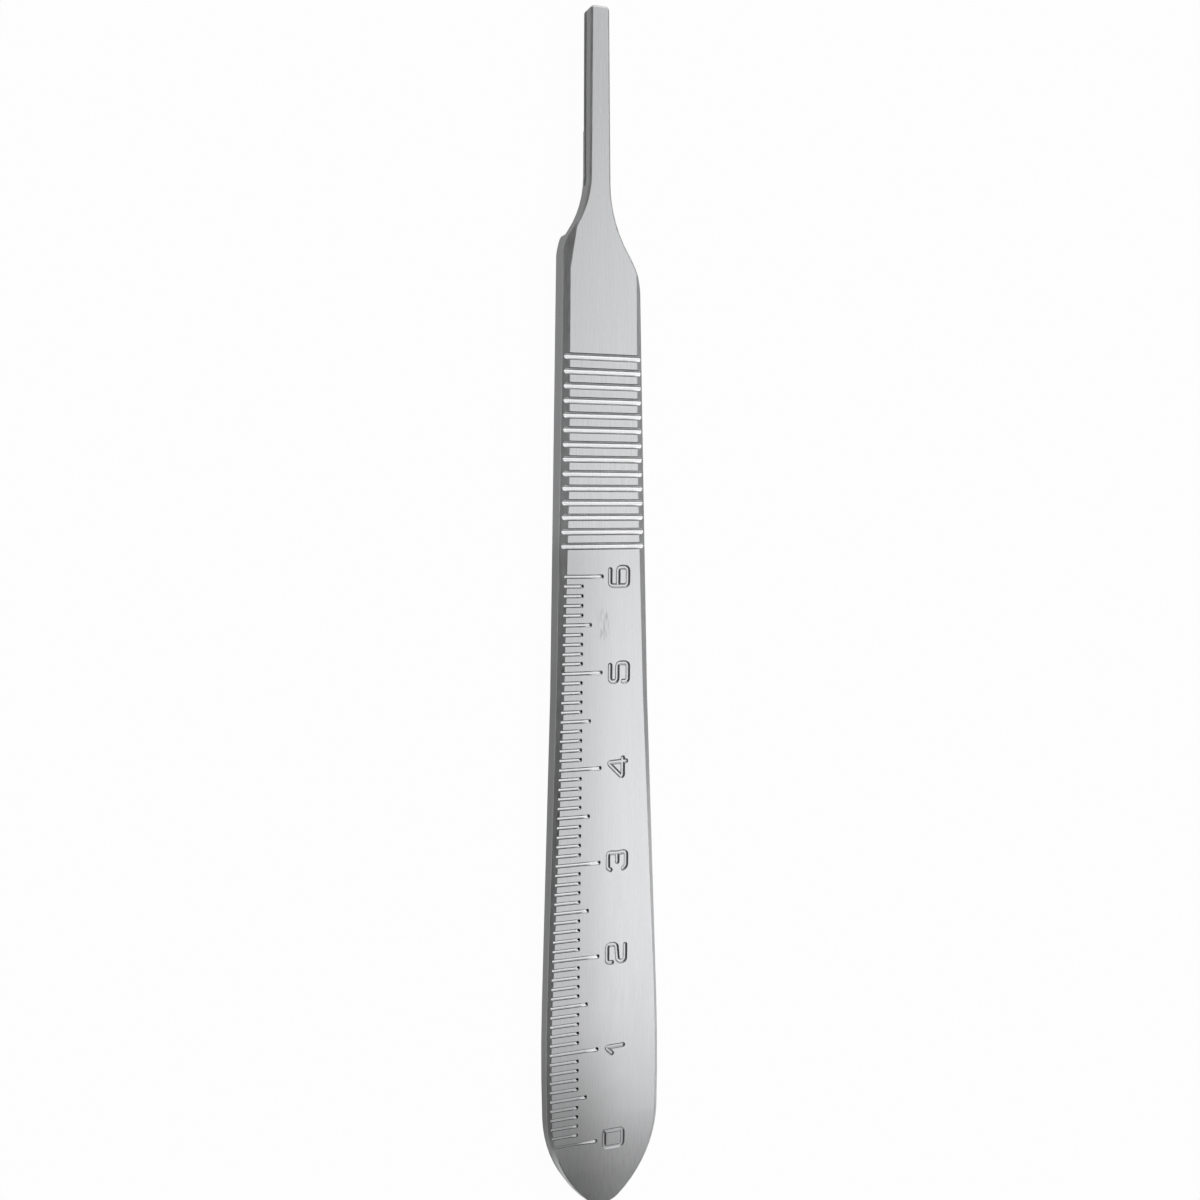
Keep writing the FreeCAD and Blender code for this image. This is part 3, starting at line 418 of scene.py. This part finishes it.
def steel(name):
    """Stainless steel, brushed lengthwise, with its tangent across the brushing."""
    mat = bpy.data.materials.new(name)
    mat.use_nodes = True
    g = Nodes(mat.node_tree)
    out = g.add("ShaderNodeOutputMaterial")
    bsdf = g.add("ShaderNodeBsdfPrincipled")
    g.put(out.inputs[0], bsdf.outputs[0])
    bsdf.inputs["Metallic"].default_value = 1.0
    bsdf.inputs["Anisotropic"].default_value = 0.8
    where = g.add("ShaderNodeTexCoord")
    point = where.outputs["Object"]
    tangent = g.add("ShaderNodeTangent", direction_type="UV_MAP", uv_map="brushing")
    g.put(bsdf.inputs["Tangent"], tangent.outputs[0])
    x, y, z = g.split(point)
    to_side, _, up = g.split(where.outputs["Normal"])
    slope_x = g.math("ABSOLUTE", to_side)
    slope_z = g.math("ABSOLUTE", up)

    # brushing: fine streaks, with broader and fainter ones and a soft mottle under them
    fine = g.noise(point, (9000.0, 420.0, 9000.0), 3.0, 0.6)
    broad = g.noise(point, (2600.0, 90.0, 2600.0), 2.0)
    mottle = g.noise(point, (1900.0, 1100.0, 1900.0), 3.0, 0.6)

    # upright walls are left rougher than the face, and their colour is painted darker as painted shade
    side = g.remap(slope_z, 0.35, 0.05, 0.0, 1.0, True)
    deep = depth_below_face(g, y, z)
    # grip grooves: middles painted brighter as a painted highlight, steep rims painted dark as painted shade
    groove_highlight, groove_rim_shade = grip_masks(g, y, z, deep, slope_x, slope_z)
    # ruler engraving: mark floors painted brighter as a painted highlight, steep walls painted dark as painted
    # shade
    mark_floor_highlight, wall_shade = ruler_masks(g, x, y, deep, slope_x, slope_z)
    # steep rims of the engraving and the grooves, painted dark as painted shade
    rim_shade = g.math("MAXIMUM", wall_shade, groove_rim_shade)
    scratch = scratch_mask(g, point, up)
    # the bevel on the right is painted darker along the upper half, as painted shade
    right_bevel_shade = g.times(g.remap(to_side, 0.25, 0.45, 0.0, 1.0),
                          g.remap(y, -24.0 * MM, -10.0 * MM, 0.0, 1.0, True))

    rough = g.math("ADD", g.remap(fine, 0.3, 0.7, 0.35, 0.43), g.remap(mottle, 0.3, 0.7, -0.015, 0.015))
    rough = g.math("ADD", rough, g.math("MULTIPLY", side, 0.28))
    g.put(bsdf.inputs["Roughness"], rough)

    tone = g.math("ADD", g.remap(fine, 0.3, 0.7, 0.64, 0.76), g.remap(broad, 0.3, 0.7, -0.01, 0.01))
    tone = g.math("ADD", tone, g.remap(mottle, 0.3, 0.7, -0.02, 0.02))
    # painted light in the tone: upright walls and the right bevel darker as painted shade, groove middles and
    # mark floors brighter as painted highlights, steep rims darker as painted shade; the scratch patch is real
    # wear
    for mask, factor in ((side, 0.85), (groove_highlight, 1.42), (mark_floor_highlight, 1.4), (rim_shade, 0.2), (scratch, 0.6),
                         (right_bevel_shade, 0.68)):
        tone = g.math("MULTIPLY", tone, g.remap(mask, 0.0, 1.0, 1.0, factor))
    # painted shade: the engraved side of the ruler darker towards both of its ends
    tone = g.math("MULTIPLY", tone, g.math("SUBTRACT", 1.0, painted_shade_share(g, x, y)))
    colour = g.add("ShaderNodeCombineColor")
    for key, shade in (("Red", 0.992), ("Green", 1.0), ("Blue", 1.012)):
        g.put(colour.inputs[key], g.math("MULTIPLY", tone, shade))
    g.put(bsdf.inputs["Base Color"], colour.outputs[0])

    bump = g.add("ShaderNodeBump")
    bump.inputs["Strength"].default_value = 0.2
    bump.inputs["Distance"].default_value = 0.01 * MM
    g.put(bump.inputs["Height"], fine)
    g.put(bsdf.inputs["Normal"], bump.outputs[0])
    return mat


def pale_floor(name):
    """Pale floor that cameras and reflections see nearly white, and that keeps the shadow."""
    mat = bpy.data.materials.new(name)
    mat.use_nodes = True
    g = Nodes(mat.node_tree)
    out = g.add("ShaderNodeOutputMaterial")
    diffuse = g.add("ShaderNodeBsdfDiffuse")
    diffuse.inputs["Color"].default_value = (0.85, 0.85, 0.85, 1)
    glow = g.add("ShaderNodeEmission")
    path = g.add("ShaderNodeLightPath")
    shares = [g.math("MULTIPLY", path.outputs[ray], share)
              for ray, share in (("Is Camera Ray", 0.97), ("Is Glossy Ray", 0.85),
                                 ("Is Transmission Ray", 0.97))]
    seen = g.math("MAXIMUM", g.math("MAXIMUM", shares[0], shares[1]), shares[2])
    blend = g.add("ShaderNodeMixShader")
    g.put(blend.inputs[0], seen)
    g.put(blend.inputs[1], diffuse.outputs[0])
    g.put(blend.inputs[2], glow.outputs[0])
    g.put(out.inputs[0], blend.outputs[0])
    return mat


# light: a wide soft box overhead, to the right of the middle, in a dim room
# strength of the box along the handle: degrees from overhead towards the fitting, strength
BOX_REACH = 60
BOX_LEVELS = [(-60, 0.0), (-42, 0.0), (-37, 0.25), (-33.5, 0.6), (-31, 1.1), (-28, 1.65), (-25.5, 1.98),
              (-23, 1.98), (-21, 1.7), (-18, 1.3), (-14, 1.05), (-9, 0.97), (-4, 0.97), (0, 0.93), (8, 1.18),
              (14, 1.5), (17, 1.3), (20, 1.0), (30, 0.9), (45, 0.9), (60, 0.9)]
BOX_STRENGTH = 2.65
ROOM_STRENGTH = 0.1
# pale bands low down beyond the tail (-1) and beyond the fitting (1):
# direction, middle and half width in degrees, fade in height between two shares, strength
BANDS = ((-1.0, -20, 18, 0.2, 0.45, 2.2), (-1.0, 25, 18, 0.3, 0.6, 0.7), (1.0, 20, 36, 0.6, 0.9, 1.1))


def soft_box(g, x, y, z):
    deg = math.radians
    to_right = g.math("ARCTAN2", x, z)
    to_front = g.math("ARCTAN2", y, z)
    left_edge = g.remap(to_right, deg(2), deg(14), 0.0, 1.0, True)
    right_edge = g.remap(to_right, deg(48), deg(60), 1.0, 0.0, True)
    strip = g.remap(to_right, deg(32), deg(46), 0.75, 1.6, True)
    ramp = g.add("ShaderNodeValToRGB")
    stops = ramp.color_ramp.elements
    while len(stops) > 1:
        stops.remove(stops[-1])
    # a ramp's colours end at 1, so it holds half of each level
    for number, (angle, level) in enumerate(BOX_LEVELS):
        place = (angle + BOX_REACH) / (2 * BOX_REACH)
        stop = stops[0] if number == 0 else stops.new(place)
        stop.position = place
        stop.color = (level / 2, level / 2, level / 2, 1)
    g.put(ramp.inputs[0], g.remap(to_front, deg(-BOX_REACH), deg(BOX_REACH), 0.0, 1.0))
    return g.times(left_edge, right_edge, ramp.outputs[0], strip)


def low_band(g, x, y, z, forward, middle, half, low, high, strength):
    deg = math.radians
    turned = g.math("ARCTAN2", x, g.math("MULTIPLY", y, forward))
    off = g.math("ABSOLUTE", g.math("SUBTRACT", turned, deg(middle)))
    return g.times(g.remap(off, deg(half - 9), deg(half + 9), 1.0, 0.0, True),
                   g.remap(z, low, high, 1.0, 0.0, True), strength)


def make_world():
    world = bpy.data.worlds.new("world")
    scene.world = world
    world.use_nodes = True
    g = Nodes(world.node_tree)
    out = g.add("ShaderNodeOutputWorld")
    sky = g.add("ShaderNodeBackground")
    g.put(out.inputs[0], sky.outputs[0])
    way = g.add("ShaderNodeTexCoord")
    x, y, z = g.split(way.outputs["Generated"])
    level = g.math("MULTIPLY", soft_box(g, x, y, z), BOX_STRENGTH)
    for band in BANDS:
        level = g.math("ADD", level, low_band(g, x, y, z, *band))
    g.put(sky.inputs["Strength"], g.math("ADD", level, ROOM_STRENGTH))


def soft_light(name, location, target, size, power):
    data = bpy.data.lights.new(name, "AREA")
    data.shape = "RECTANGLE"
    data.size, data.size_y = size, size
    data.energy = power
    obj = new_object(name, data)
    obj.location = location
    obj.rotation_euler = (Vector(target) - Vector(location)).to_track_quat("-Z", "Y").to_euler()


def make_floor(half=1.5, below=0.02):
    """Square floor, half m to each side and a hair below the handle."""
    mesh = bpy.data.meshes.new("floor")
    mesh.from_pydata([(-half, -half, 0), (half, -half, 0), (half, half, 0), (-half, half, 0)],
                     [], [(0, 1, 2, 3)])
    floor = new_object("floor", mesh)
    floor.location.z = -below * MM
    mesh.materials.append(pale_floor("floor"))


def make_camera():
    """Camera at the photograph's viewing angle, above the handle and to its left."""
    data = bpy.data.cameras.new("camera")
    data.sensor_width = 36.0
    data.lens = 40.215
    data.clip_start, data.clip_end = 0.005, 10.0
    right = Vector((0.925490, -0.003865, 0.378752))
    up = Vector((0.026153, 0.998214, -0.053718))
    camera = new_object("camera", data)
    camera.matrix_world = Matrix.Translation((-0.052816, 0.010694, 0.130891)) @ Matrix(
        (right, up, right.cross(up))).transposed().to_4x4()
    scene.camera = camera


handle = new_object("scalpel_handle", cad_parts["handle"].data.copy())
round_long_edges(handle.data)
engrave(handle)
soft_shading(handle)
brushed_uv(handle)
handle.data.materials.clear()
handle.data.materials.append(steel("brushed_steel"))
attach(handle, "root")
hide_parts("handle")

make_floor()
make_world()
soft_light("overhead", (0.15, -0.15, 1.2), (0, 0, 0), 0.7, 1.4)
make_camera()
